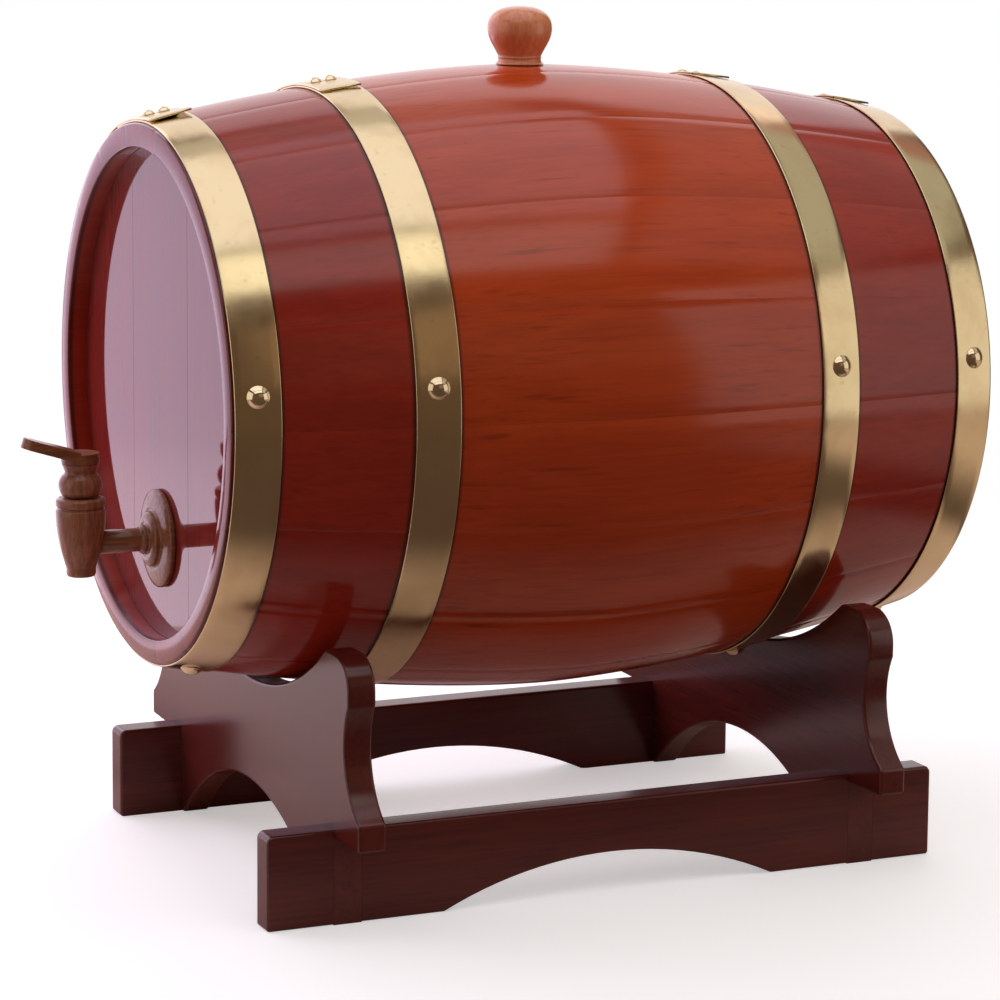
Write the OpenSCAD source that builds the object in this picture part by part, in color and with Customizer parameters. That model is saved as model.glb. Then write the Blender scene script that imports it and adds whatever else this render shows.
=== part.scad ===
// Varnished oak keg of about ten litres with brass hoops, a turned bung and a
// wooden tap, lying on a stand of two rails and two saddle boards.
// Units are millimetres. The floor is z = 0 and the tap points along -Y.

/* [Barrel] */
// length of the staves from chime to chime
barrel_len = 340; // [250:5:420]
// outside diameter at the middle
bilge_d = 267; // [200:1:330]
// outside diameter at each end
end_d = 223; // [160:1:280]
// exponent of the side curve, two is a parabola
side_curve = 1.67; // [1.4:0.01:2.2]
// thickness of a stave
stave_t = 12; // [8:0.5:18]
// how far the head sits below the chime
head_depth = 8.5; // [6:0.5:20]
// thickness of the head boards
head_t = 10; // [8:0.5:14]
// width of the middle head board
head_board_w = 70; // [50:1:90]

/* [Hoops] */
// width of a brass hoop
hoop_w = 18; // [12:0.5:26]
// thickness of the brass strip
hoop_t = 1.4; // [0.8:0.1:2.5]
// distance of the head hoop from the end of the staves
head_hoop_inset = 1.2; // [0.5:0.1:6]
// distance of the quarter hoop from the middle
quarter_hoop_y = 80.5; // [70:0.5:90]
// diameter of a rivet head
rivet_d = 7; // [5:0.5:8]
// diameter of a hoop nail head
nail_d = 9; // [6:0.5:12]

/* [Bung] */
// diameter of the bung knob
bung_d = 27.5; // [20:0.5:36]
// height of the knob above the staves
bung_h = 24.5; // [18:0.5:30]
// height of the neck under the knob
bung_neck_h = 3; // [1:0.5:5]
// diameter of the bung hole at the outside
bung_hole_d = 17; // [12:0.5:20]

/* [Tap] */
// height of the tap bore below the barrel axis
tap_drop = 61; // [50:1:70]
// distance from the head to the tap body axis
tap_reach = 34.5; // [30:0.5:45]
// largest diameter of the tap body
tap_body_d = 20.5; // [18:0.5:26]
// height of the tap body
tap_body_h = 33; // [28:0.5:40]
// diameter of the flange on the head
tap_flange_d = 41; // [30:1:50]
// length of the lever from the key axis
lever_len = 25; // [18:0.5:30]
// upward tilt of the lever
lever_tilt = 17; // [0:1:30]
// diameter of the liquid way
tap_bore_d = 5; // [3:0.5:6]

/* [Stand] */
// length of a rail
rail_len = 303; // [240:1:360]
// height of a rail
rail_h = 39; // [30:0.5:50]
// thickness of a rail
rail_t = 13; // [10:0.5:18]
// distance between the outer faces of the rails
rail_span = 202; // [180:1:230]
// thickness of a saddle board
saddle_t = 12; // [10:0.5:16]
// distance of each saddle from the middle of the stand
saddle_y = 117.3; // [105:0.1:125]
// half width over the toes of a saddle
toe_x = 127.5; // [120:0.5:135]
// height of the lowest point of the seat
seat_z = 80.5; // [70:0.1:90]
// height of the saddle ears
ear_z = 111; // [100:0.5:120]
// radius of the seat curve
seat_r = 150; // [130:1:180]

/* [Output] */
// name of the node to draw, or all

/* [Hidden] */
$fn = 96;
stave_n = 18;
pitch = 360 / stave_n;
// joint gap between neighbouring boards of the barrel
seam = 0.12;
// running clearance of pins and plugs, on the radius
run = 0.05;
half_len = barrel_len / 2;
bilge_r = bilge_d / 2;
end_r = end_d / 2;
// rest gap between the barrel and the saddles
rest_gap = 0.3;
saddle_in = saddle_y - saddle_t / 2;
axis_z = seat_z + rest_gap + side_r(saddle_in);
// distance of the lever tip in front of the barrel middle
tap_y = half_len - head_depth + tap_reach;
front_reach = tap_y + lever_len;
// the barrel middle is set back so that the whole object is centred on Y
barrel_y = (front_reach - half_len) / 2;
croze_w = 4;
croze_depth = 3;
croze_y = half_len - head_depth - head_t / 2;
head_r = side_r(croze_y) - stave_t;
rivet_gap = 8.6;
rivet_angle = 97;
lap_angle = 22;
// the lap follows a circle shifted towards the crest, so it fades out by itself
lap_shift = 7.1;
lap_lean = 70;
lap_lift = seam - 1 - lap_shift * cos(90 + lap_angle - lap_lean);
rivet_shank = 3;
nail_shank = 2.4;
nail_angles = [7, 187, 287];
hoop_starts = [
    -half_len + head_hoop_inset,
    -quarter_hoop_y - hoop_w,
    quarter_hoop_y,
    half_len - head_hoop_inset - hoop_w
];
tap_top = -tap_drop + 19.5;
tap_bottom = tap_top - tap_body_h;
key_top_d = 10;
key_bottom_d = 8;
key_bottom = tap_bottom + 3.5;
key_len = tap_top - key_bottom;
stem_r = 4.9;
stem_end = 5.7;
spout_r = 6.1;
outlet_d = 6;
bead_h = 9.5;
neck_r = 7.6;
neck_h = 4.5;
tenon_r = 3;
lever_t = 4.2;
tip_r = 5.5;
bung_wide_z = 15;
bung_waist_r = bung_hole_d / 2 + 0.6;
rail_in = rail_span / 2 - rail_t;
rail_out = rail_span / 2;
// the saddle foot straddles a web left standing in the rail
web_t = 7;
web_h = 26;
fit = 0.08;
waist_x = 111.5;
waist_z = 75.5;
ear_x = 116;
ear_corner = 14;
toe_low = rail_h - 3;
toe_high = 47;
oak = [0.62, 0.25, 0.12];
oak_dark = [0.45, 0.13, 0.09];
mahogany = [0.33, 0.11, 0.09];
brass = [0.80, 0.64, 0.40];
turned = [0.50, 0.30, 0.18];

// outside radius of the staves at a distance y from the middle
function side_r(y) = bilge_r - (bilge_r - end_r) * pow(abs(y) / half_len, side_curve);

// outer side of a stave, front to back
function outer_side(n) = [
    for (i = [0 : n]) let (y = -half_len + barrel_len * i / n) [side_r(y), y]
];

// inner side of a stave between the two heads, back to front
function inner_side(n, reach) = [
    for (i = [0 : n]) let (y = reach - 2 * reach * i / n) [side_r(y) - stave_t, y]
];

// the chime and croze at one end, s is 1 at the back and -1 at the front
function chime_end(s) = let (
    lip = side_r(half_len) - stave_t + 2.3,
    start = croze_y + croze_w / 2
) [
    [lip, s * half_len],
    [head_r, s * (start + 3)],
    [head_r, s * start],
    [head_r + croze_depth, s * start],
    [head_r + croze_depth, s * (croze_y - croze_w / 2)],
    [head_r, s * (croze_y - croze_w / 2)]
];

function reversed(list) = [for (i = [len(list) - 1 : -1 : 0]) list[i]];

// moves children from the barrel frame, axis along Y, to the object frame
module at_barrel() {
    translate([0, barrel_y, axis_z]) children();
}

// turns a profile drawn as [radius, y] about the barrel axis, from angle a
// over the sweep, angles measured from +X towards +Z
module around_barrel(a, sweep) {
    rotate([90, 0, 0]) mirror([0, 0, 1]) rotate([0, 0, a])
        rotate_extrude(angle = sweep) children();
}

// places children on the barrel side, their z axis pointing outwards
module on_side(angle, y, r) {
    translate([0, y, 0]) rotate([0, 90 - angle, 0]) translate([0, 0, r]) children();
}

module stave_profile() {
    polygon(concat(
        outer_side(17),
        chime_end(1),
        inner_side(15, croze_y - croze_w / 2 - 4),
        reversed(chime_end(-1))
    ));
}

module stave_blank(angle) {
    cut = seam / bilge_r * 180 / PI;
    around_barrel(angle - pitch / 2 + cut / 2, pitch - cut) stave_profile();
}

module nail_shafts(d) {
    for (y = hoop_starts) for (a = nail_angles)
        on_side(a, y + hoop_w / 2, side_r(y + hoop_w / 2) - 8)
            cylinder(h = 12, d = d);
}

// one stave, number 1 carries the bung hole and the rest follow round
module stave(i) {
    color(oak) at_barrel() difference() {
        stave_blank(90 + (i - 1) * pitch);
        nail_shafts(nail_shank + 2 * run);
        if (i == 1) bung_hole();
    }
}

module bung_hole() {
    translate([0, 0, bilge_r - 20])
        cylinder(h = 22, r1 = bung_hole_r(-20) + run, r2 = bung_hole_r(2) + run);
}

// turned head before it is parted into boards, outer face at y = 0
module head_blank() {
    rotate([-90, 0, 0]) {
        cylinder(h = head_t, r = head_r - seam);
        translate([0, 0, (head_t - croze_w) / 2 + 0.3])
            cylinder(h = croze_w - 0.6, r = head_r + croze_depth - seam);
    }
}

// slice of the head between two x positions, s is the end as -1 or 1
module head_board(s, x0, x1) {
    face = half_len - head_depth;
    at_barrel() intersection() {
        translate([0, s * face, 0]) rotate([0, 0, s > 0 ? 180 : 0]) head_blank();
        translate([x0 + seam / 2, s * face - 20, -head_r - 10])
            cube([x1 - x0 - seam, 40, 2 * head_r + 20]);
    }
}

// cross section of a strip lying on the staves, extra lengthens it at both edges
module hoop_section(y0, lift, t, extra = 0) {
    y1 = y0 + hoop_w;
    rise = (side_r(y1) - side_r(y0)) / hoop_w * extra;
    low = side_r(y0) + lift - rise;
    high = side_r(y1) + lift + rise;
    polygon([[low, y0 - extra], [low + t, y0 - extra], [high + t, y1 + extra], [high, y1 + extra]]);
}

// brass strip closed with a lap at the top, held by two rivets
module hoop(y0) {
    color(brass) at_barrel() difference() {
        union() {
            around_barrel(0, 360) hoop_section(y0, seam, hoop_t);
            intersection() {
                translate([lap_shift * cos(lap_lean), 0, lap_shift * sin(lap_lean)])
                    around_barrel(0, 360) hoop_section(y0, lap_lift, hoop_t + 1);
                around_barrel(90, lap_angle) hoop_section(y0, seam + hoop_t / 2, 20, 1);
            }
        }
        rivet_spots(y0) translate([0, 0, -2]) cylinder(h = 9, d = rivet_shank + 2 * run);
        nail_shafts(nail_shank + 4 * run);
    }
}

function hoop_slope(y0) = atan((side_r(y0 + hoop_w) - side_r(y0)) / hoop_w);

module rivet_spots(y0) {
    mid = y0 + hoop_w / 2;
    for (s = [-1, 1])
        on_side(rivet_angle, mid, side_r(mid))
            rotate([hoop_slope(y0), 0, 0]) translate([0, s * rivet_gap / 2, 0]) children();
}

// domed head standing on z = 0
module dome(d, h) {
    r = (d * d / 4 + h * h) / (2 * h);
    intersection() {
        translate([0, 0, h - r]) sphere(r = r);
        cylinder(h = h + 1, d = d + 1);
    }
}

// domed rivets through both layers of every lap
module hoop_rivets() {
    color(brass) at_barrel() for (y0 = hoop_starts) rivet_spots(y0) {
        translate([0, 0, seam]) cylinder(h = hoop_t + 1.2, d = rivet_shank);
        translate([0, 0, hoop_t + 1.1]) dome(rivet_d, 2.2);
    }
}

// round nails that hold the hoops to the staves
module hoop_nails() {
    color(brass) at_barrel() for (y0 = hoop_starts) for (a = nail_angles) {
        mid = y0 + hoop_w / 2;
        on_side(a, mid, side_r(mid)) {
            translate([0, 0, -7.8]) cylinder(h = 9.4, d = nail_shank);
            rotate([hoop_slope(y0), 0, 0])
                translate([0, 0, seam + hoop_t - 0.08]) dome(nail_d, 2.6);
        }
    }
}

module hoop_head_front() {
    hoop(hoop_starts[0]);
}

module hoop_quarter_front() {
    hoop(hoop_starts[1]);
}

module hoop_quarter_rear() {
    hoop(hoop_starts[2]);
}

module hoop_head_rear() {
    hoop(hoop_starts[3]);
}

module head_front_left() {
    color(oak_dark) head_board(-1, -head_r - 20, -head_board_w / 2);
}

// the middle board of the front head carries the tap
module head_front_centre() {
    color(oak_dark) difference() {
        head_board(-1, -head_board_w / 2, head_board_w / 2);
        at_tap_bore() translate([0, 0, -head_t - 1])
            cylinder(h = head_t + 2, r1 = spigot_r(-head_t - 1) + run, r2 = spigot_r(1) + run);
    }
}

module head_front_right() {
    color(oak_dark) head_board(-1, head_board_w / 2, head_r + 20);
}

module head_rear_left() {
    color(oak_dark) head_board(1, -head_r - 20, -head_board_w / 2);
}

module head_rear_centre() {
    color(oak_dark) head_board(1, -head_board_w / 2, head_board_w / 2);
}

module head_rear_right() {
    color(oak_dark) head_board(1, head_board_w / 2, head_r + 20);
}

module stave_01() { stave(1); }
module stave_02() { stave(2); }
module stave_03() { stave(3); }
module stave_04() { stave(4); }
module stave_05() { stave(5); }
module stave_06() { stave(6); }
module stave_07() { stave(7); }
module stave_08() { stave(8); }
module stave_09() { stave(9); }
module stave_10() { stave(10); }
module stave_11() { stave(11); }
module stave_12() { stave(12); }
module stave_13() { stave(13); }
module stave_14() { stave(14); }
module stave_15() { stave(15); }
module stave_16() { stave(16); }
module stave_17() { stave(17); }
module stave_18() { stave(18); }

// the head face where the tap bore starts, z pointing out along the bore
module at_tap_bore() {
    at_barrel() translate([0, -half_len + head_depth, -tap_drop]) rotate([90, 0, 0])
        children();
}

// the vertical axis of the tap, z = 0 level with the barrel axis
module at_tap() {
    at_barrel() translate([0, -tap_y, 0]) children();
}

// radius of the tapered tail of the spigot at z from the head face
function spigot_r(z) = 8.9 + 0.03 * z;

// turned spigot with its flange, driven into the head and glued in the tap
module tap_spigot() {
    flange = tap_flange_d / 2;
    tip = tap_reach - stem_end;
    bore = tap_bore_d / 2;
    color(turned) at_tap_bore() rotate_extrude() polygon([
        [bore, -head_t - 10], [spigot_r(-head_t - 10), -head_t - 10],
        [spigot_r(0.05), 0.05], [flange, 0.05], [flange, 1.3], [flange - 1.1, 2.6],
        [flange - 7, 3.4], [flange - 9, 4.2], [flange - 9, 5.2], [flange - 10.5, 6.6],
        [flange - 13.5, 7.4], [flange - 15, 8.4], [stem_r, 9.4], [stem_r, tip], [bore, tip]
    ]);
}

// outer radius of the tap body at a depth below its top
function body_r(u) =
    tap_body_d / 2 - 4.1 * pow(max(0, u - 7) / (tap_body_h - 11), 1.8);

// turned tap body, bored for the key, the spigot and the outlet
module tap_body() {
    steps = 14;
    drop = tap_body_h - 4;
    color(turned) at_tap() difference() {
        translate([0, 0, tap_top]) rotate_extrude() polygon(concat(
            [[0, 0], [body_r(0) - 0.9, 0], [body_r(0), -0.8]],
            [for (i = [1 : steps]) let (u = 1.6 + (drop - 1.6) * i / steps) [body_r(u), -u]],
            [[spout_r, -drop], [spout_r, -tap_body_h + 0.8],
             [spout_r - 0.8, -tap_body_h], [0, -tap_body_h]]
        ));
        translate([0, 0, key_bottom - 0.3])
            cylinder(h = key_len + 0.3, d1 = key_bottom_d + 2 * run, d2 = key_top_d + 2 * run);
        translate([0, 0, tap_bottom - 1]) cylinder(h = 6, d = outlet_d);
        translate([0, 0, -tap_drop]) rotate([-90, 0, 0])
            cylinder(h = tap_body_d, d = tap_bore_d);
        translate([0, stem_end - 0.2, -tap_drop]) rotate([-90, 0, 0])
            cylinder(h = tap_body_d, r = stem_r + run);
    }
}

// turned key with its plug, the side hole faces +X while the tap is shut
module tap_key() {
    low = tap_top + 0.3;
    neck = low + bead_h + neck_h;
    steps = 12;
    color(turned) at_tap() difference() {
        rotate_extrude() polygon(concat(
            [[0, key_bottom], [key_bottom_d / 2, key_bottom], [key_top_d / 2, tap_top],
             [key_top_d / 2, low]],
            [for (i = [0 : steps]) [bead_r(i / steps), low + bead_h * i / steps]],
            [[neck_r, neck], [tenon_r, neck], [tenon_r, neck + 3.2], [0, neck + 3.2]]
        ));
        translate([0, 0, key_bottom - 1])
            cylinder(h = tap_bore_d / 2 - tap_drop - key_bottom + 1, d = tap_bore_d);
        translate([0, 0, -tap_drop]) rotate([0, 90, 0])
            cylinder(h = key_top_d, d = tap_bore_d);
    }
}

// radius of the key above the body, from u = 0 at its foot to 1 at the neck
function bead_r(u) = neck_r + 1.3 * pow(sin(180 * u), 0.6);

// flat lever glued on the key, a round hub and a paddle that rises outwards
module tap_lever() {
    base = tap_top + 0.3 + bead_h + neck_h + 0.05;
    reach = lever_len / cos(lever_tilt);
    color(turned) at_tap() translate([0, 0, base]) difference() {
        union() {
            cylinder(h = lever_t, r = neck_r + 0.2);
            rotate([-lever_tilt, 0, 0]) linear_extrude(lever_t) {
                translate([0, -reach + tip_r]) circle(r = tip_r);
                polygon([
                    [-tip_r, -reach + tip_r], [tip_r, -reach + tip_r],
                    [neck_r - 0.6, -3], [0.6 - neck_r, -3]
                ]);
            }
        }
        translate([0, 0, -1]) cylinder(h = 4.3, r = tenon_r + run);
    }
}

// radius of the bung knob at a height above the staves
function knob_r(z) = z < bung_neck_h
    ? bung_waist_r + 1.3 * pow(1 - z / bung_neck_h, 3)
    : z < bung_wide_z
    ? bung_waist_r + (bung_d / 2 - bung_waist_r)
        * pow(sin(90 * (z - bung_neck_h) / (bung_wide_z - bung_neck_h)), 1.35)
    : bung_d / 2 * pow(1 - pow((z - bung_wide_z) / (bung_h - bung_wide_z), 2.4), 1 / 2.4);

// turned bung, its shank follows the taper of the bung hole and its neck flares over the rim
module bung() {
    neck = 5;
    low = 12;
    high = 14;
    shank = 15;
    color(turned) at_barrel() translate([0, 0, bilge_r]) rotate_extrude() polygon(concat(
        [[0, -shank], [bung_hole_r(-shank), -shank], [bung_hole_r(0), 0]],
        [for (i = [0 : neck]) let (z = bung_neck_h * i / neck) [knob_r(z), z]],
        [for (i = [1 : low]) let (z = bung_neck_h + (bung_wide_z - bung_neck_h) * i / low)
            [knob_r(z), z]],
        [for (i = [1 : high]) let (z = bung_wide_z + (bung_h - bung_wide_z) * sin(90 * i / high))
            [i == high ? 0 : knob_r(z), z]]
    ));
}

// radius of the bung hole at a height from the crest of the staves
function bung_hole_r(z) = bung_hole_d / 2 + 0.05 * z;

// outline of a rail, drawn with y across and z up
module rail_outline() {
    arch_rise = 17;
    arch_half = 75;
    arch_r = (arch_half * arch_half + arch_rise * arch_rise) / (2 * arch_rise);
    top_round = 3;
    difference() {
        translate([-rail_len / 2, 0]) square([rail_len, rail_h]);
        translate([0, arch_rise - arch_r]) circle(r = arch_r, $fn = 360);
        for (s = [-1, 1]) translate([s * (rail_len / 2 - top_round), rail_h - top_round])
            difference() {
                translate([s > 0 ? 0 : -top_round, 0]) square([top_round, top_round]);
                circle(r = top_round);
            }
    }
}

// rail with two lap notches, s is the side as -1 or 1
module rail(s) {
    color(mahogany) translate([0, barrel_y, 0]) difference() {
        translate([s * (rail_in + rail_t / 2) - rail_t / 2, 0, 0])
            rotate([90, 0, 90]) linear_extrude(rail_t) rail_outline();
        for (e = [-1, 1]) {
            translate([s * (rail_in + rail_t / 2) - rail_t / 2 - 1,
                       e * saddle_y - saddle_t / 2 - fit, web_h])
                cube([rail_t + 2, saddle_t + 2 * fit, rail_h]);
            translate([s > 0 ? rail_in + web_t : -rail_out - 1,
                       e * saddle_y - saddle_t / 2 - fit, -1])
                cube([rail_t - web_t + 1, saddle_t + 2 * fit, rail_h]);
        }
    }
}

module rail_left() {
    rail(-1);
}

module rail_right() {
    rail(1);
}

// right half of a saddle board, drawn with x across and z up
module saddle_half() {
    drop = waist_z - toe_high;
    out = toe_x - waist_x;
    side = (out * out + drop * drop) / (2 * out);
    arch_r = 118;
    difference() {
        square([toe_x, ear_z]);
        translate([waist_x + side, waist_z]) circle(r = side);
        translate([ear_x, waist_z]) square([toe_x, ear_z]);
        translate([rail_out, -1]) square([toe_x, toe_low + 1]);
        translate([0, seat_z + seat_r]) circle(r = seat_r, $fn = 360);
        translate([0, 36 - arch_r]) circle(r = arch_r, $fn = 240);
        translate([rail_in - fit, -1]) square([web_t + 2 * fit, web_h + 1 + fit]);
        translate([ear_x - ear_corner, ear_z - ear_corner]) difference() {
            square([ear_corner + 1, ear_corner + 1]);
            circle(r = ear_corner);
        }
    }
}

module saddle(s) {
    color(mahogany) translate([0, barrel_y + s * saddle_y + saddle_t / 2, 0])
        rotate([90, 0, 0]) linear_extrude(saddle_t) {
            saddle_half();
            mirror([1, 0]) saddle_half();
        }
}

module saddle_front() {
    saddle(-1);
}

module saddle_rear() {
    saddle(1);
}

rail_left();
rail_right();
saddle_front();
saddle_rear();
stave_01();
stave_02();
stave_03();
stave_04();
stave_05();
stave_06();
stave_07();
stave_08();
stave_09();
stave_10();
stave_11();
stave_12();
stave_13();
stave_14();
stave_15();
stave_16();
stave_17();
stave_18();
head_front_left();
head_front_centre();
head_front_right();
head_rear_left();
head_rear_centre();
head_rear_right();
hoop_head_front();
hoop_quarter_front();
hoop_quarter_rear();
hoop_head_rear();
hoop_rivets();
hoop_nails();
tap_spigot();
tap_body();
tap_key();
tap_lever();
bung();
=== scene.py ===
"""Varnished oak keg with brass hoops, a turned bung and a wooden tap, on its stand.

Lengths are metres. The barrel lies along Y with its tap towards -Y, and the floor is z = 0.
"""

import math

import bmesh
import bpy
from mathutils import Matrix, Vector, noise


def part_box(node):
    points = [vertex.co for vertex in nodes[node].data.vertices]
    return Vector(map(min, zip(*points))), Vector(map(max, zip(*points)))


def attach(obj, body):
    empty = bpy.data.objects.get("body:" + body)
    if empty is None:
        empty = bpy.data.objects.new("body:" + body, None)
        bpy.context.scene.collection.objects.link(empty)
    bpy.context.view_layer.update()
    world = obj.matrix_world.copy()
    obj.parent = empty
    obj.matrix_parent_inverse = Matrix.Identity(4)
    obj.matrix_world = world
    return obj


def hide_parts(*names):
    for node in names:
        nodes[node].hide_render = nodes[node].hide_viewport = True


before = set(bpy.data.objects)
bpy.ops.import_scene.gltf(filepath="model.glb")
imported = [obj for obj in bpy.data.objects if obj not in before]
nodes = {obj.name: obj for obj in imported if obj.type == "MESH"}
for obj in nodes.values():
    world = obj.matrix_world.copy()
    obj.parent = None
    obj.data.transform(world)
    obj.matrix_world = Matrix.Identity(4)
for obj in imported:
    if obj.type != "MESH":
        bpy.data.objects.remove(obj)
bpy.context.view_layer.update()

MM = 0.001
# sides of the larger turned pieces
FINE_TURN = 96


# ---------------------------------------------------------------- places from the frame

def corners(*names):
    """Lowest and highest corner round several CAD nodes."""
    boxes = [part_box(name) for name in names]
    low = Vector(min(b[0][i] for b in boxes) for i in range(3))
    high = Vector(max(b[1][i] for b in boxes) for i in range(3))
    return low, high


STAVES = [f"stave_{i:02d}" for i in range(1, 19)]
HEADS = [f"head_{end}_{part}" for end in ("front", "rear") for part in ("left", "centre", "right")]
HOOPS = ["hoop_head_front", "hoop_quarter_front", "hoop_quarter_rear", "hoop_head_rear"]
SADDLES = ["saddle_front", "saddle_rear"]
RAILS = ["rail_left", "rail_right"]

lowest_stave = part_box("stave_10")
rear_head = corners(*HEADS[3:])
BARREL = Vector((
    0,
    (lowest_stave[0].y + lowest_stave[1].y) / 2,
    (rear_head[0].z + rear_head[1].z) / 2,
))
HALF_LEN = (lowest_stave[1].y - lowest_stave[0].y) / 2
BILGE_R = BARREL.z - lowest_stave[0].z
# the CAD's own measures that no box gives
END_R = 111.5 * MM
SIDE_CURVE = 1.67
STAVE_T = 12 * MM
HEAD_DEPTH = 8.5 * MM
HEAD_T = 10 * MM
SEAM = 0.12 * MM
# strip of the hoops, thinner than the CAD's solid hoop
HOOP_T = 0.8 * MM


def side_r(y):
    """Outside radius of the barrel at a distance y from its middle."""
    return BILGE_R - (BILGE_R - END_R) * (abs(y) / HALF_LEN) ** SIDE_CURVE


def side_slope(y):
    """Change of the outside radius with y."""
    step = 0.5 * MM
    return (side_r(y + step) - side_r(y - step)) / (2 * step)


def on_side(angle, y, lift=0.0):
    """Point on the barrel at an angle in degrees from +X towards +Z, y from the middle."""
    a = math.radians(angle)
    radius = side_r(y) + lift
    return BARREL + Vector((radius * math.cos(a), y, radius * math.sin(a)))


def side_frame(angle, y, lift=0.0):
    """Matrix at a point of the barrel's side with its z axis along the surface normal."""
    a = math.radians(angle)
    out = Vector((math.cos(a), -side_slope(y), math.sin(a))).normalized()
    around = Vector((-math.sin(a), 0, math.cos(a)))
    along = out.cross(around)
    turn = Matrix((around, along, out)).transposed()
    return Matrix.Translation(on_side(angle, y, lift)) @ turn.to_4x4()


# ---------------------------------------------------------------- mesh making

def new_object(name, bm, body, material, replaced=()):
    """Turns a bmesh into a piece that rides on a CAD body."""
    bmesh.ops.recalc_face_normals(bm, faces=bm.faces)
    mesh = bpy.data.meshes.new(name)
    bm.to_mesh(mesh)
    bm.free()
    mesh.materials.append(material)
    piece = bpy.data.objects.new(name, mesh)
    bpy.context.scene.collection.objects.link(piece)
    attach(piece, body)
    if replaced:
        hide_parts(*replaced)
    return piece


def smooth_by_angle(bm, degrees):
    """Smooth shading everywhere but across edges sharper than the angle."""
    limit = math.radians(degrees)
    for face in bm.faces:
        face.smooth = True
    for edge in bm.edges:
        if len(edge.link_faces) == 2:
            edge.smooth = edge.calc_face_angle(0) < limit


def add_turned(bm, profile, place, segments=64):
    """Adds a solid turned from [radius, height] points; it closes on the axis at both ends."""
    rings = []
    for radius, height in profile:
        if radius < 1e-6:
            rings.append([bm.verts.new(place @ Vector((0, 0, height)))])
            continue
        rings.append([
            bm.verts.new(place @ Vector((
                radius * math.cos(math.tau * i / segments),
                radius * math.sin(math.tau * i / segments),
                height,
            )))
            for i in range(segments)
        ])
    for low, high in zip(rings, rings[1:]):
        for i in range(segments):
            j = (i + 1) % segments
            corner = [low[i % len(low)], low[j % len(low)], high[j % len(high)], high[i % len(high)]]
            face = list(dict.fromkeys(corner))
            if len(face) > 2:
                bm.faces.new(face)


def rounded(outline, steps=4, share=0.45):
    """The [radius, height] outline of (radius, height, corner) points, its corners rounded over.

    A corner takes at most the given share of the sides next to it.
    """
    made = []
    for i, (radius, height, corner) in enumerate(outline):
        p = Vector((radius, height))
        if corner <= 0 or i in (0, len(outline) - 1):
            made.append(tuple(p))
            continue
        before = Vector(outline[i - 1][:2]) - p
        after = Vector(outline[i + 1][:2]) - p
        reach = min(corner, before.length * share, after.length * share)
        a = p + before.normalized() * reach
        b = p + after.normalized() * reach
        for k in range(steps + 1):
            t = k / steps
            made.append(tuple(a * (1 - t) ** 2 + p * 2 * t * (1 - t) + b * t ** 2))
    return made


def bored(piece, profile, place):
    """Cuts a shape turned from [radius, height] points out of a piece."""
    bm = bmesh.new()
    add_turned(bm, profile, place, FINE_TURN)
    bmesh.ops.recalc_face_normals(bm, faces=bm.faces)
    mesh = bpy.data.meshes.new("cutter")
    bm.to_mesh(mesh)
    bm.free()
    cutter = bpy.data.objects.new("cutter", mesh)
    bpy.context.scene.collection.objects.link(cutter)
    cut = piece.modifiers.new("bore", "BOOLEAN")
    cut.object = cutter
    cut.solver = "EXACT"
    graph = bpy.context.evaluated_depsgraph_get()
    bm = bmesh.new()
    bm.from_object(piece, graph)
    piece.modifiers.clear()
    bpy.data.objects.remove(cutter)
    smooth_by_angle(bm, 35)
    bm.to_mesh(piece.data)
    bm.free()


def inside(point, box, margin):
    """Whether a point lies in a box grown by a margin."""
    return all(box[0][i] - margin <= point[i] <= box[1][i] + margin for i in range(3))


def softened(node, radius, body, material, steps=3, crisp=25, joints=()):
    """The CAD node's own solid, its sharp edges rounded over but for those inside the joint boxes."""
    bm = bmesh.new()
    bm.from_mesh(nodes[node].data)
    bmesh.ops.remove_doubles(bm, verts=bm.verts, dist=0.002 * MM)
    bmesh.ops.dissolve_limit(
        bm, angle_limit=math.radians(0.6), verts=bm.verts, edges=bm.edges, use_dissolve_boundaries=False
    )
    limit = math.radians(crisp)
    sharp = [
        e for e in bm.edges
        if len(e.link_faces) == 2 and e.calc_face_angle(0) > limit
        and not any(inside((e.verts[0].co + e.verts[1].co) / 2, box, 1 * MM) for box in joints)
    ]
    bmesh.ops.bevel(
        bm, geom=sharp, offset=radius, offset_type="OFFSET", segments=steps, profile=0.5,
        affect="EDGES", clamp_overlap=True, miter_outer="ARC",
    )
    smooth_by_angle(bm, 40)
    piece = new_object(node + "_rounded", bm, body, material, (node,))
    piece.modifiers.new("even_normals", "WEIGHTED_NORMAL").keep_sharp = True
    return piece


# ---------------------------------------------------------------- materials

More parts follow.
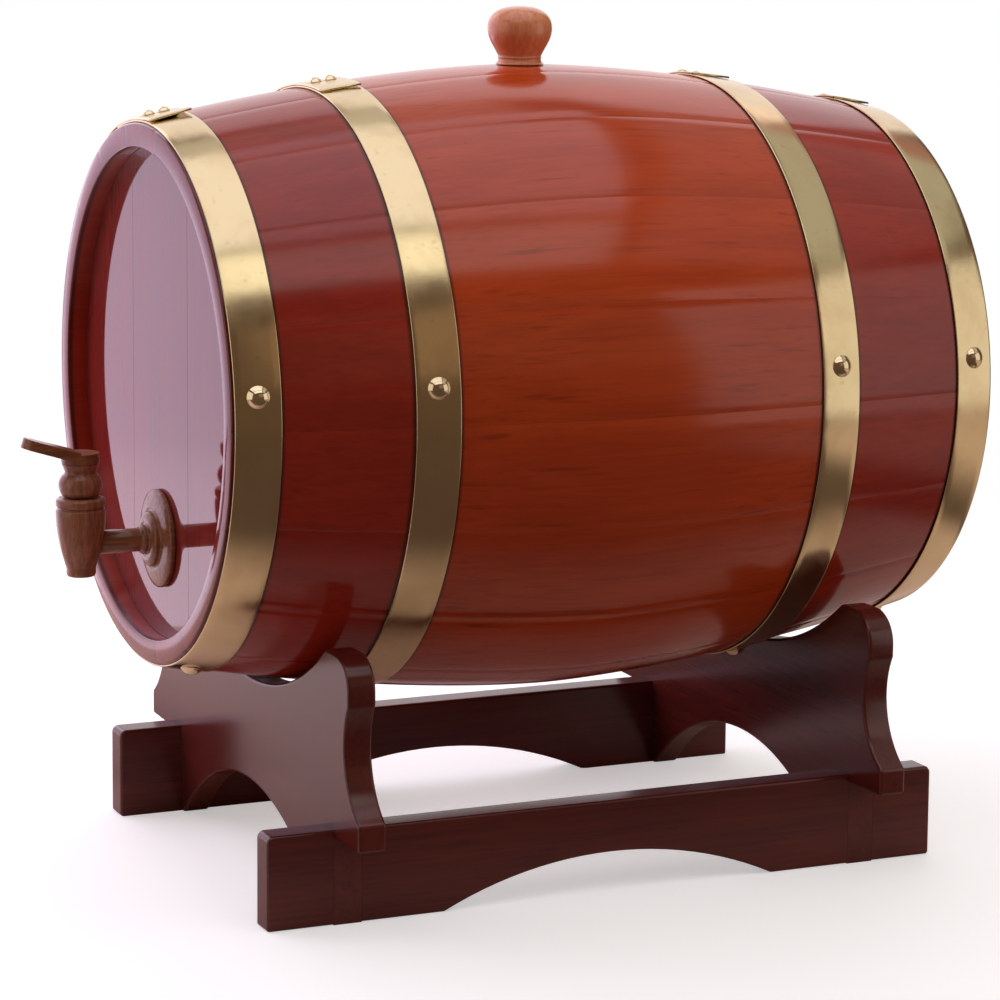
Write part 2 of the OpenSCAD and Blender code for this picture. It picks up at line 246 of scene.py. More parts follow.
class Shader:
    """A material's node tree, with a few short ways to add nodes."""

    def __init__(self, name):
        self.material = bpy.data.materials.new(name)
        self.material.use_nodes = True
        self.tree = self.material.node_tree
        self.tree.nodes.clear()
        out = self.tree.nodes.new("ShaderNodeOutputMaterial")
        self.main = self.tree.nodes.new("ShaderNodeBsdfPrincipled")
        self.link(self.main.outputs[0], out.inputs[0])
        self.coords = self.tree.nodes.new("ShaderNodeTexCoord").outputs["Object"]

    def link(self, a, b):
        self.tree.links.new(a, b)

    def feed(self, socket, value):
        if isinstance(value, bpy.types.NodeSocket):
            self.link(value, socket)
        elif isinstance(value, tuple) and len(value) == 3 and socket.type == "RGBA":
            socket.default_value = (*value, 1)
        else:
            socket.default_value = value

    def math(self, operation, a, b=0.0, clamp=False):
        node = self.tree.nodes.new("ShaderNodeMath")
        node.operation = operation
        node.use_clamp = clamp
        self.feed(node.inputs[0], a)
        self.feed(node.inputs[1], b)
        return node.outputs[0]

    def vector(self, operation, a, b=(0, 0, 0)):
        node = self.tree.nodes.new("ShaderNodeVectorMath")
        node.operation = operation
        self.feed(node.inputs[0], a)
        self.feed(node.inputs[1], b)
        return node.outputs["Value" if operation in ("LENGTH", "DOT_PRODUCT") else "Vector"]

    def parts(self, vector):
        node = self.tree.nodes.new("ShaderNodeSeparateXYZ")
        self.link(vector, node.inputs[0])
        return node.outputs

    def joined(self, x, y, z):
        node = self.tree.nodes.new("ShaderNodeCombineXYZ")
        for socket, value in zip(node.inputs, (x, y, z)):
            self.feed(socket, value)
        return node.outputs[0]

    def noise(self, vector, scale, detail=3.0, rough=0.5, warp=0.0):
        node = self.tree.nodes.new("ShaderNodeTexNoise")
        self.link(vector, node.inputs["Vector"])
        node.inputs["Scale"].default_value = scale
        node.inputs["Detail"].default_value = detail
        node.inputs["Roughness"].default_value = rough
        node.inputs["Distortion"].default_value = warp
        return node.outputs["Fac"]

    def ramp(self, value, low, high, to_low=0.0, to_high=1.0, smooth=True):
        node = self.tree.nodes.new("ShaderNodeMapRange")
        node.interpolation_type = "SMOOTHSTEP" if smooth else "LINEAR"
        self.feed(node.inputs["Value"], value)
        for key, number in (("From Min", low), ("From Max", high), ("To Min", to_low), ("To Max", to_high)):
            node.inputs[key].default_value = number
        return node.outputs["Result"]

    def mix(self, factor, a, b, blend="MIX"):
        node = self.tree.nodes.new("ShaderNodeMix")
        node.data_type = "RGBA"
        node.blend_type = blend
        self.feed(node.inputs["Factor"], factor)
        colours = [s for s in node.inputs if s.type == "RGBA"]
        self.feed(colours[0], a)
        self.feed(colours[1], b)
        return [s for s in node.outputs if s.type == "RGBA"][0]

    def bump(self, height, distance, strength=1.0, under=None):
        node = self.tree.nodes.new("ShaderNodeBump")
        node.inputs["Strength"].default_value = strength
        node.inputs["Distance"].default_value = distance
        self.link(height, node.inputs["Height"])
        if under is not None:
            self.link(under, node.inputs["Normal"])
        return node.outputs["Normal"]

    def set(self, **values):
        for key, value in values.items():
            self.feed(self.main.inputs[key.replace("_", " ").title().replace("Ior", "IOR")], value)


def stretched(shader, along, across, axis, source=None):
    """Coordinates divided by grain length along an axis and by grain width across it."""
    scale = [1 / across] * 3
    scale["xyz".index(axis)] = 1 / along
    return shader.vector("MULTIPLY", source or shader.coords, tuple(scale))


# Each piece has its own pass index, counted on from these numbers, that shifts its pattern.
FIRST_INDEX = {
    "stave": 1, "stand": 40, "head": 50, "hoop": 60, "nails": 70, "rivets": 71,
    "bung": 80, "tap_body": 81, "tap_spigot": 82, "tap_key": 83, "tap_lever": 84,
}
INDEX_SHIFT = (0.173, 0.311, 0.237)


def piece_index(shader):
    return shader.tree.nodes.new("ShaderNodeObjectInfo").outputs["Object Index"]


def piece_shift(shader, index):
    """Object coordinates moved apart for each piece by its index, so no two boards match."""
    shift = shader.joined(*(shader.math("MULTIPLY", index, step) for step in INDEX_SHIFT))
    return shader.vector("ADD", shader.coords, shift)


def hoop_edge_distance(shader, y):
    """Distance along the barrel to the nearest hoop edge."""
    nearest = None
    for name in HOOPS:
        low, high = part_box(name)
        middle, half = (low.y + high.y) / 2, (high.y - low.y) / 2
        off = shader.math("ABSOLUTE", shader.math("SUBTRACT", y, middle))
        gap = shader.math("ABSOLUTE", shader.math("SUBTRACT", off, half))
        nearest = gap if nearest is None else shader.math("MINIMUM", nearest, gap)
    return nearest


# distances from the barrel's middle between which the orange wood turns dark red
END_BAND = (70 * MM, 108 * MM)
# painted shade with some dirt: the colour the wood is darkened to along the hoops' edges
HOOP_SHADE_AND_DIRT = (0.045, 0.008, 0.005)


def varnished(name, light, dark, streak, axis, ends=None, shaded_at_hoops=False, coat_rough=0.09, ripple=1.0,
              veins=0.5, spread=(0.95, 1.05)):
    """Stained wood under clear varnish, its grain running along an axis.

    ends is a second light and dark for the ends of the staves, shaded_at_hoops paints dark lines of shade,
    with some dirt, along the hoops' edges, ripple waves the varnish, veins is the weight of the streaks,
    and spread is the range of brightness from board to board.
    """
    s = Shader(name)
    index = piece_index(s)
    shifted = piece_shift(s, index)
    broad = s.noise(stretched(s, 120 * MM, 16 * MM, axis, shifted), 1.0, detail=3, rough=0.55, warp=0.4)
    lines = s.noise(stretched(s, 70 * MM, 1.6 * MM, axis, shifted), 1.0, detail=4, rough=0.6, warp=0.3)
    fine = s.noise(stretched(s, 22 * MM, 0.45 * MM, axis, shifted), 1.0, detail=2, rough=0.6)
    tone = s.math("ADD", s.math("MULTIPLY", broad, 0.62), s.math("MULTIPLY", lines, 0.38))
    tone = s.ramp(tone, 0.36, 0.62)
    colour = s.mix(tone, light, dark)
    y = s.parts(s.coords)[1]
    if ends:
        away = s.math("ABSOLUTE", s.math("SUBTRACT", y, BARREL.y))
        colour = s.mix(s.ramp(away, *END_BAND), colour, s.mix(tone, *ends))
    figure = s.noise(stretched(s, 380 * MM, 3.4 * MM, axis, shifted), 1.0, detail=3, rough=0.55, warp=0.2)
    colour = s.mix(s.math("MULTIPLY", s.ramp(figure, 0.60, 0.74), veins), colour, streak)
    colour = s.mix(s.math("MULTIPLY", s.ramp(lines, 0.56, 0.74), veins * 0.6), colour, streak)
    colour = s.mix(s.math("MULTIPLY", s.ramp(fine, 0.60, 0.74), veins * 0.4), colour, streak)
    if shaded_at_hoops:
        # painted contact shade, with some dirt: the wood darkens within 2 mm of each hoop's edge
        shade_and_dirt = s.ramp(hoop_edge_distance(s, y), 0.3 * MM, 2.0 * MM, 0.8, 0.0)
        colour = s.mix(shade_and_dirt, colour, HOOP_SHADE_AND_DIRT)
    golden = 0.618
    board = s.ramp(s.math("FRACT", s.math("MULTIPLY", index, golden)), 0, 1, *spread, smooth=False)
    shade = s.tree.nodes.new("ShaderNodeHueSaturation")
    s.link(board, shade.inputs["Value"])
    s.link(colour, shade.inputs["Color"])
    s.set(base_color=shade.outputs[0])
    s.set(roughness=s.ramp(broad, 0.3, 0.7, 0.34, 0.46), coat_weight=1.0, coat_roughness=coat_rough)
    s.set(coat_ior=1.5, specular_ior_level=0.0)
    swell = s.noise(stretched(s, 60 * MM, 14 * MM, axis, shifted), 1.0, detail=2, rough=0.5)
    height = s.math("ADD", s.math("MULTIPLY", lines, 0.35), s.math("MULTIPLY", fine, 0.12))
    grain_bump = s.bump(height, 0.10 * MM, 0.5)
    s.link(s.bump(swell, 0.20 * MM, 0.25, grain_bump), s.main.inputs["Normal"])
    s.link(s.bump(swell, 0.12 * MM, 0.25 * ripple), s.main.inputs["Coat Normal"])
    return s.material


TARNISH = (0.60, 0.42, 0.22)
TARNISH_SPOT = (0.40, 0.25, 0.12)
# rolling lines run round the barrel, so they are fine only along it
ROLLING_SCALE = (40, 2600, 40)


def brass_strip(name, base=(0.76, 0.62, 0.36), rough=(0.13, 0.22)):
    """Polished brass with faint rolling lines, spots of tarnish and small dents."""
    s = Shader(name)
    shifted = piece_shift(s, piece_index(s))
    cloud = s.noise(shifted, 42, detail=4, rough=0.6, warp=0.3)
    spots = s.noise(shifted, 260, detail=3, rough=0.6)
    lines = s.noise(s.vector("MULTIPLY", shifted, ROLLING_SCALE), 1.0, detail=2, rough=0.6)
    tarnish = s.ramp(cloud, 0.40, 0.72)
    colour = s.mix(s.math("MULTIPLY", tarnish, 0.35), base, TARNISH)
    colour = s.mix(s.math("MULTIPLY", s.ramp(spots, 0.62, 0.74), 0.20), colour, TARNISH_SPOT)
    s.set(base_color=colour, metallic=1.0)
    rough_value = s.math("ADD", s.ramp(cloud, 0.3, 0.75, *rough), s.math("MULTIPLY", lines, 0.05))
    s.set(roughness=rough_value)
    s.link(s.bump(lines, 0.012 * MM, 0.5, s.bump(cloud, 0.16 * MM, 0.30)), s.main.inputs["Normal"])
    return s.material


def turned_wood(name, light, dark, streak, axis="z", coat=0.7, coat_rough=0.16):
    """Oiled turned hardwood with long grain and faint tool rings."""
    s = Shader(name)
    shifted = piece_shift(s, piece_index(s))
    grain = s.noise(stretched(s, 22 * MM, 2.2 * MM, axis, shifted), 1.0, detail=4, rough=0.6, warp=0.5)
    pores = s.noise(stretched(s, 5 * MM, 0.35 * MM, axis, shifted), 1.0, detail=2, rough=0.6)
    rings = s.noise(stretched(s, 0.8 * MM, 30 * MM, axis, shifted), 1.0, detail=2, rough=0.5)
    colour = s.mix(s.ramp(grain, 0.34, 0.64), light, dark)
    colour = s.mix(s.math("MULTIPLY", s.ramp(pores, 0.56, 0.72), 0.5), colour, streak)
    s.set(base_color=colour, roughness=s.ramp(grain, 0.3, 0.7, 0.36, 0.52))
    s.set(coat_weight=coat, coat_roughness=coat_rough, specular_ior_level=0.1)
    height = s.math("ADD", s.math("MULTIPLY", rings, 0.5), s.math("MULTIPLY", pores, 0.5))
    s.link(s.bump(height, 0.05 * MM, 0.5), s.main.inputs["Normal"])
    s.link(s.bump(rings, 0.03 * MM, 0.4), s.main.inputs["Coat Normal"])
    return s.material


stave_wood = varnished(
    "stave_varnish", light=(0.56, 0.068, 0.012), dark=(0.47, 0.052, 0.009), streak=(0.22, 0.018, 0.005),
    axis="y", ends=((0.38, 0.030, 0.014), (0.30, 0.021, 0.010)), shaded_at_hoops=True, coat_rough=0.15,
)
head_wood = varnished(
    "head_varnish", light=(0.23, 0.026, 0.022), dark=(0.20, 0.022, 0.019), streak=(0.15, 0.015, 0.013),
    axis="z", coat_rough=0.035, ripple=0.5, veins=0.25, spread=(0.98, 1.02),
)
rail_wood = varnished(
    "rail_varnish", light=(0.120, 0.017, 0.012), dark=(0.080, 0.011, 0.009), streak=(0.035, 0.005, 0.005),
    axis="y", coat_rough=0.22, ripple=0.5, veins=0.3,
)
saddle_wood = varnished(
    "saddle_varnish", light=(0.120, 0.017, 0.012), dark=(0.085, 0.012, 0.009), streak=(0.040, 0.006, 0.005),
    axis="x", coat_rough=0.20, ripple=0.3, veins=0.3,
)
brass = brass_strip("hoop_brass")
pin_brass = brass_strip("pin_brass", base=(0.84, 0.70, 0.46), rough=(0.08, 0.14))
tap_wood = turned_wood(
    "tap_wood", light=(0.42, 0.170, 0.095), dark=(0.26, 0.100, 0.054), streak=(0.10, 0.036, 0.022),
)
stem_wood = turned_wood(
    "stem_wood", light=(0.32, 0.120, 0.055), dark=(0.20, 0.070, 0.034), streak=(0.08, 0.028, 0.016), axis="y",
)
bung_wood = turned_wood(
    "bung_wood", light=(0.84, 0.320, 0.150), dark=(0.74, 0.245, 0.105), streak=(0.44, 0.125, 0.060),
    coat=1.0, coat_rough=0.18,
)


# ---------------------------------------------------------------- stand

BOARD_ROUNDING = 1.3 * MM

for i, name in enumerate(RAILS + SADDLES):
    wood = rail_wood if name in RAILS else saddle_wood
    crossing = [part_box(other) for other in (SADDLES if name in RAILS else RAILS)]
    board = softened(name, BOARD_ROUNDING, "stand", wood, joints=crossing)
    board.pass_index = FIRST_INDEX["stand"] + i


# ---------------------------------------------------------------- barrel

STAVE_EDGE = 0.03 * MM
STAVE_GAP = 0.01 * MM
# faces of a stave along its outside, along its inside and across it
OUTSIDE_STEPS = 72
INSIDE_STEPS = 24
ACROSS_STEPS = 9
CROZE_W = 4 * MM
CROZE_DEPTH = 3 * MM
# the outer edge at the end of a stave: distances in from the end and down from the outside
END_ROUNDING = [(0.0, 0.7 * MM), (0.14 * MM, 0.42 * MM), (0.42 * MM, 0.14 * MM), (0.7 * MM, 0.0)]
# how much thinner the stave is at its end than at the croze
CHIME_THINNING = 2.3 * MM


def stave_outline():
    """Section of a stave along the barrel: points of radius, y and 1 where it is outside."""
    croze_y = HALF_LEN - HEAD_DEPTH - HEAD_T / 2
    inner = side_r(croze_y) - STAVE_T
    lip = side_r(HALF_LEN) - STAVE_T + CHIME_THINNING
    outside = [(-HALF_LEN + 2 * HALF_LEN * i / OUTSIDE_STEPS) for i in range(OUTSIDE_STEPS + 1)]
    points = []
    for inset, drop in END_ROUNDING:
        y = -HALF_LEN + inset
        points.append((side_r(y) - drop, y, 1))
    points += [(side_r(y), y, 1) for y in outside[1:-1]]
    for inset, drop in reversed(END_ROUNDING):
        y = HALF_LEN - inset
        points.append((side_r(y) - drop, y, 1))
    near = croze_y + CROZE_W / 2
    far = croze_y - CROZE_W / 2
    for s in (1, -1):
        end = [
            (lip + 0.7 * MM, s * HALF_LEN, 0),
            (lip + 0.2 * MM, s * (HALF_LEN - 0.2 * MM), 0),
            (lip, s * (HALF_LEN - 0.8 * MM), 0),
            (inner, s * (near + 3 * MM), 0),
            (inner, s * near, 0),
            (inner + CROZE_DEPTH, s * near, 0),
            (inner + CROZE_DEPTH, s * far, 0),
            (inner, s * far, 0),
        ]
        points += end if s > 0 else end[::-1]
        if s > 0:
            reach = far - 4 * MM
            points += [
                (side_r(y) - STAVE_T, y, 0)
                for y in (reach - 2 * reach * i / INSIDE_STEPS for i in range(INSIDE_STEPS + 1))
            ]
    return points


def add_stave(bm, middle, width):
    """One stave, given its middle and width in degrees, its long outer edges eased."""
    outline = stave_outline()
    half = math.radians(width) / 2
    gap = STAVE_GAP / 2 / BILGE_R
    eased = [0.0, 0.25, 0.6, 1.0]
    offsets = [STAVE_EDGE * e / BILGE_R for e in eased]
    span = half - gap - offsets[-1]
    angles = [-half + gap + o for o in offsets[:-1]]
    angles += [-span + 2 * span * i / ACROSS_STEPS for i in range(ACROSS_STEPS + 1)]
    angles += [half - gap - o for o in reversed(offsets[:-1])]
    drops = [STAVE_EDGE * (1 - math.sqrt(1 - (1 - e) ** 2)) for e in eased[:-1]]
    drops = drops + [0.0] * (ACROSS_STEPS + 1) + drops[::-1]
    slices = []
    for offset, drop in zip(angles, drops):
        a = math.radians(middle) + offset
        ring = []
        for radius, y, outer in outline:
            r = radius - drop * outer
            ring.append(bm.verts.new(BARREL + Vector((r * math.cos(a), y, r * math.sin(a)))))
        slices.append(ring)
    count = len(outline)
    for left, right in zip(slices, slices[1:]):
        for k in range(count):
            n = (k + 1) % count
            bm.faces.new((left[k], left[n], right[n], right[k]))
    bm.faces.new(slices[0])
    bm.faces.new(slices[-1][::-1])


STAVE_PITCH = 360 / len(STAVES)
CREST_ANGLE = 90
HEAD_EASING = 0.06 * MM

for i, name in enumerate(STAVES):
    bm = bmesh.new()
    add_stave(bm, CREST_ANGLE + i * STAVE_PITCH, STAVE_PITCH)
    smooth_by_angle(bm, 35)
    stave = new_object(name + "_eased", bm, "barrel", stave_wood, (name,))
    stave.pass_index = FIRST_INDEX["stave"] + i

for i, name in enumerate(HEADS):
    board = softened(name, HEAD_EASING, "barrel", head_wood, steps=1)
    board.pass_index = FIRST_INDEX["head"] + i


# ---------------------------------------------------------------- hoops

# for each hoop, the angle at which its strip ends and how far that end has sprung away
LAPS = {
    "hoop_head_front": (85, 1.5 * MM),
    "hoop_quarter_front": (81, 0.5 * MM),
    "hoop_quarter_rear": (88, 0.4 * MM),
    "hoop_head_rear": (88, 0.6 * MM),
}
# degrees of the whole lap, of the climb onto the strip's start and of the sprung end
LAP_SWEEP = 22.0
CLIMB_SWEEP = 12
FLARE_SWEEP = 7
HOOP_STEPS = 540
STRIP_ROUNDING = 0.35 * MM
STRIP_CROWN = 0.10 * MM
STRIP_WAVE = 0.07 * MM
WAVE_SCALE = 2.2
WAVE_SEED_STEP = 3.7
# gap between the two layers of the lap
LAP_GAP = 0.06 * MM


def smooth_step(x):
    """Eases from 0 to 1."""
    x = min(1.0, max(0.0, x))
    return x * x * (3 - 2 * x)


def add_hoop(bm, y0, y1, lap_end, lap_lift, seed):
    """A strip wound once round the barrel, its end lapped over its start at the crest."""
    start = lap_end + LAP_SWEEP
    sweep = 360 + LAP_SWEEP
    width = y1 - y0
    quarter = [math.pi / 2 * k / 3 for k in range(4)]
    near = [
        (STRIP_ROUNDING * (1 - math.sin(t)), HOOP_T - STRIP_ROUNDING * (1 - math.cos(t)))
        for t in reversed(quarter)
    ]
    crown = [(width * k / 6, HOOP_T) for k in range(1, 6)]
    far = [(width - u, h) for u, h in reversed(near)]
    outline = [(0.1 * MM, 0.0)] + near + crown + far + [(width - 0.1 * MM, 0.0)]
    slope = (side_r(y1) - side_r(y0)) / width
    rings = []
    for i in range(HOOP_STEPS + 1):
        angle = start - sweep * i / HOOP_STEPS
        wound = start - angle
        climb = smooth_step((wound - (360 - CLIMB_SWEEP)) / CLIMB_SWEEP)
        flare = smooth_step((wound - (sweep - FLARE_SWEEP)) / FLARE_SWEEP)
        lift = SEAM + climb * (HOOP_T + LAP_GAP)
        a = math.radians(angle)
        wave = noise.noise(Vector((math.cos(a) * WAVE_SCALE, math.sin(a) * WAVE_SCALE, seed))) * STRIP_WAVE
        lift += abs(wave)
        ring = []
        for u, h in outline:
            bulge = STRIP_CROWN * (1 - (2 * u / width - 1) ** 2) if h > 0 else 0.0
            sprung = flare * lap_lift * (0.35 + 0.65 * u / width)
            radius = side_r(y0) + slope * u + lift + sprung + h + bulge
            ring.append(bm.verts.new(BARREL + Vector((radius * math.cos(a), y0 + u, radius * math.sin(a)))))
        rings.append(ring)
    count = len(outline)
    for left, right in zip(rings, rings[1:]):
        for k in range(count):
            n = (k + 1) % count
            bm.faces.new((left[k], left[n], right[n], right[k]))
    bm.faces.new(rings[0])
    bm.faces.new(rings[-1][::-1])


hoop_spans = []
for i, name in enumerate(HOOPS):
    low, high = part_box(name)
    y0, y1 = low.y - BARREL.y, high.y - BARREL.y
    hoop_spans.append((y0, y1))
    bm = bmesh.new()
    add_hoop(bm, y0, y1, *LAPS[name], WAVE_SEED_STEP * i + 1)
    smooth_by_angle(bm, 38)
    hoop = new_object(name + "_strip", bm, "barrel", brass, (name,))
    hoop.pass_index = FIRST_INDEX["hoop"] + i

NAIL_ANGLES = (7, 187, 287)
NAIL_R, NAIL_H, NAIL_SHANK = 4.5 * MM, 2.6 * MM, 8 * MM
# degrees from the strip's end to its two rivets, and how far apart they sit
RIVET_BEHIND = 9.5
RIVET_GAP = 6.6 * MM
RIVET_R, RIVET_H, RIVET_SHANK = 3.0 * MM, 1.9 * MM, 2.6 * MM
SHANK_R = 1.1 * MM
DOME_STEPS = 14


def dome_profile(radius, height, sink):
    """Domed head with a small rounded rim, on a short shank."""
    ball = (radius * radius + height * height) / (2 * height)
    top = [
        (ball * math.sin(t), height - ball * (1 - math.cos(t)))
        for t in (math.asin(min(1, radius / ball)) * k / DOME_STEPS for k in range(DOME_STEPS))
    ]
    rim = [(radius, 0.25 * MM), (radius, 0.05 * MM), (radius - 0.2 * MM, -0.05 * MM)]
    shank = [(SHANK_R, -0.05 * MM), (SHANK_R, -sink), (0, -sink)]
    return [(0 if r < 1e-7 else r, z) for r, z in top] + rim + shank


bm = bmesh.new()
for y0, y1 in hoop_spans:
    for angle in NAIL_ANGLES:
        place = side_frame(angle, (y0 + y1) / 2, SEAM + HOOP_T + 0.05 * MM)
        add_turned(bm, dome_profile(NAIL_R, NAIL_H, NAIL_SHANK), place, 40)
smooth_by_angle(bm, 50)
nails = new_object("hoop_nails_domed", bm, "barrel", pin_brass, ("hoop_nails",))
nails.pass_index = FIRST_INDEX["nails"]

bm = bmesh.new()
for name, (y0, y1) in zip(HOOPS, hoop_spans):
    angle = LAPS[name][0] + RIVET_BEHIND
    place = side_frame(angle, (y0 + y1) / 2, SEAM + 2 * HOOP_T + 0.12 * MM)
    for side in (-1, 1):
        shift = Matrix.Translation((0, side * RIVET_GAP / 2, 0))
        add_turned(bm, dome_profile(RIVET_R, RIVET_H, RIVET_SHANK), place @ shift, 36)
smooth_by_angle(bm, 50)
rivets = new_object("hoop_rivets_domed", bm, "barrel", pin_brass, ("hoop_rivets",))
rivets.pass_index = FIRST_INDEX["rivets"]


# ---------------------------------------------------------------- bung

BUNG_R = 13.8 * MM
BUNG_NECK = 3 * MM
BUNG_WIDE = 15 * MM
BUNG_H = 24.6 * MM
BUNG_WAIST = 9.1 * MM
BUNG_SHANK = 15 * MM
# radius of the bung hole at the crest of the staves, and how far it flares open there
HOLE_R = 8.53 * MM
HOLE_FLARE = 8.8 * MM
CREST = Matrix.Translation(BARREL + Vector((0, 0, BILGE_R)))


def bung_r(z):
    """Radius of the bung at a height above the crest: flared neck, then knob."""
    if z < BUNG_NECK:
        return BUNG_WAIST + 1.3 * MM * (1 - z / BUNG_NECK) ** 3
    if z < BUNG_WIDE:
        rise = (z - BUNG_NECK) / (BUNG_WIDE - BUNG_NECK)
        return BUNG_WAIST + (BUNG_R - BUNG_WAIST) * math.sin(math.pi / 2 * rise) ** 1.35
    return BUNG_R * (1 - ((z - BUNG_WIDE) / (BUNG_H - BUNG_WIDE)) ** 2.4) ** (1 / 2.4)


def bung_profile():
    """Tapered shank, flared neck with a groove above it, and the knob."""
    profile = [(0, -BUNG_SHANK), (7.4 * MM, -BUNG_SHANK), (7.75 * MM, -14.5 * MM), (8.4 * MM, -0.6 * MM)]
    profile += [(8.5 * MM, 0), (bung_r(0) - 0.3 * MM, 0), (bung_r(0), 0.2 * MM)]
    profile += [(bung_r(BUNG_NECK * i / 8), BUNG_NECK * i / 8) for i in range(1, 8)]
    profile += [
        (BUNG_WAIST + 0.35 * MM, BUNG_NECK - 0.1 * MM),
        (BUNG_WAIST + 0.3 * MM, BUNG_NECK + 0.1 * MM),
        (BUNG_WAIST - 0.05 * MM, BUNG_NECK + 0.3 * MM),
    ]
    for i in range(3, 31):
        z = BUNG_NECK + (BUNG_WIDE - BUNG_NECK) * i / 30
        profile.append((bung_r(z), z))
    for i in range(1, 33):
        z = BUNG_WIDE + (BUNG_H - BUNG_WIDE) * math.sin(math.pi / 2 * i / 32)
        profile.append((0 if i == 32 else bung_r(z), z))
    return profile


hole = [
    (0, -25 * MM), (7.3 * MM, -25 * MM), (HOLE_R, -0.4 * MM),
    (HOLE_FLARE, 0), (9.2 * MM, 3 * MM), (0, 3 * MM),
]
bored(bpy.data.objects["stave_01_eased"], hole, CREST)

bm = bmesh.new()
add_turned(bm, bung_profile(), CREST, FINE_TURN)
smooth_by_angle(bm, 35)
bung = new_object("bung_turned", bm, "bung", bung_wood, ("bung",))
bung.pass_index = FIRST_INDEX["bung"]


# ---------------------------------------------------------------- tap

tap_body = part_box("tap_body")
tap_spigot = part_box("tap_spigot")
TAP = Vector((0, (tap_body[0].y + tap_body[1].y) / 2, 0))
BODY_R = (tap_body[1].x - tap_body[0].x) / 2
BODY_LOW, BODY_TOP = tap_body[0].z, tap_body[1].z
BODY_H = BODY_TOP - BODY_LOW
FLANGE_R = (tap_spigot[1].x - tap_spigot[0].x) / 2
STEM_Z = (tap_spigot[0].z + tap_spigot[1].z) / 2
FACE_Y = BARREL.y - HALF_LEN + HEAD_DEPTH


def body_r(depth):
    """Radius of the tap body at a depth below its top."""
    return BODY_R - 4.1 * MM * (max(0, depth - 7 * MM) / (BODY_H - 11 * MM)) ** 1.8


SPOUT_R = 6.1 * MM
OUTLET_R = 2.9 * MM
STEM_R = 4.9 * MM
# the stem goes into the tap body to this distance from the key's axis
STEM_END = 5.7 * MM
NECK_R = 7.6 * MM
BEAD_H = 9.5 * MM
NECK_H = 4.5 * MM
# gap under the bead of the key
KEY_GAP = 0.3 * MM
PLUG_LEN = 26 * MM
BORE_DEPTH = 26.6 * MM
LEVER_ROUNDING = 1.7 * MM


def tap_body_outline():
    """Spout with its outlet, swelling body, groove, rim, and the tapered bore for the key."""
    outline = [
        (0, -BODY_H + 4.5 * MM, 0),
        (OUTLET_R, -BODY_H + 4.5 * MM, 0.3 * MM),
        (OUTLET_R + 0.2 * MM, -BODY_H + 0.3 * MM, 0.3 * MM),
        (SPOUT_R - 0.6 * MM, -BODY_H, 0.8 * MM),
        (SPOUT_R, -BODY_H + 1.2 * MM, 0.6 * MM),
        (SPOUT_R, -BODY_H + 3.4 * MM, 0.6 * MM),
    ]
    for i in range(17):
        depth = BODY_H - 4 * MM - (BODY_H - 9.5 * MM) * i / 16
        outline.append((body_r(depth), -depth, 0.6 * MM if i == 0 else 0))
    outline += [
        (BODY_R - 0.1 * MM, -5.0 * MM, 0.2 * MM),
        (BODY_R - 0.8 * MM, -4.5 * MM, 0.3 * MM),
        (BODY_R - 0.8 * MM, -4.0 * MM, 0.3 * MM),
        (BODY_R, -3.5 * MM, 0.7 * MM),
        (BODY_R, -0.9 * MM, 0.9 * MM),
        (BODY_R - 1.2 * MM, 0, 0.8 * MM),
        (6 * MM, 0, 0.2 * MM),
        (5.2 * MM, -0.4 * MM, 0),
        (5.0 * MM, -0.8 * MM, 0),
        (4.2 * MM, -BORE_DEPTH, 0),
        (0, -BORE_DEPTH, 0),
    ]
    return outline


def spigot_outline(tip):
    """Tail in the head board, then the flange, its beads and the stem as far as the tip."""
    return [
        (0, -18 * MM, 0),
        (7.6 * MM, -18 * MM, 0.6 * MM),
        (8.4 * MM, -16 * MM, 0.5 * MM),
        (8.9 * MM, 0.05 * MM, 0),
        (FLANGE_R - 0.5 * MM, 0.05 * MM, 0.4 * MM),
        (FLANGE_R, 0.6 * MM, 0.5 * MM),
        (FLANGE_R, 2.2 * MM, 0.8 * MM),
        (FLANGE_R - 2.2 * MM, 3.2 * MM, 1.5 * MM),
        (FLANGE_R - 7.5 * MM, 4.0 * MM, 0.5 * MM),
        (FLANGE_R - 8.3 * MM, 3.6 * MM, 0.3 * MM),
        (FLANGE_R - 9.0 * MM, 4.2 * MM, 0.4 * MM),
        (FLANGE_R - 9.0 * MM, 5.8 * MM, 0.9 * MM),
        (FLANGE_R - 11.0 * MM, 6.9 * MM, 1.0 * MM),
        (FLANGE_R - 13.2 * MM, 7.0 * MM, 0.5 * MM),
        (FLANGE_R - 13.8 * MM, 6.6 * MM, 0.3 * MM),
        (FLANGE_R - 14.4 * MM, 7.2 * MM, 0.3 * MM),
        (FLANGE_R - 14.4 * MM, 8.6 * MM, 0.8 * MM),
        (STEM_R, 9.8 * MM, 0.5 * MM),
        (STEM_R, tip, 0),
        (0, tip, 0),
    ]


def key_profile():
    """Plug, bead and neck of the key, heights measured from the top of the tap body."""
    foot_r = NECK_R - 0.9 * MM
    bead_top = KEY_GAP + BEAD_H
    neck_top = bead_top + NECK_H
    profile = [
        (0, -PLUG_LEN), (3.6 * MM, -PLUG_LEN), (4.0 * MM, -25.4 * MM), (4.8 * MM, -0.4 * MM),
        (4.8 * MM, KEY_GAP), (foot_r, KEY_GAP),
    ]
    for i in range(1, 24):
        t = i / 24
        profile.append((foot_r + 2.3 * MM * math.sin(math.pi * t) ** 0.62, KEY_GAP + BEAD_H * t))
    profile += [
        (foot_r, bead_top),
        (NECK_R - 1.2 * MM, bead_top + 0.7 * MM),
        (NECK_R - 0.3 * MM, neck_top - 1.2 * MM),
        (NECK_R, neck_top - 0.3 * MM),
        (NECK_R - 0.2 * MM, neck_top),
        (0, neck_top),
    ]
    return profile


tap_top = Matrix.Translation(TAP + Vector((0, 0, BODY_TOP)))
along_bore = Matrix.Translation((0, FACE_Y, STEM_Z)) @ Matrix.Rotation(math.pi / 2, 4, "X")

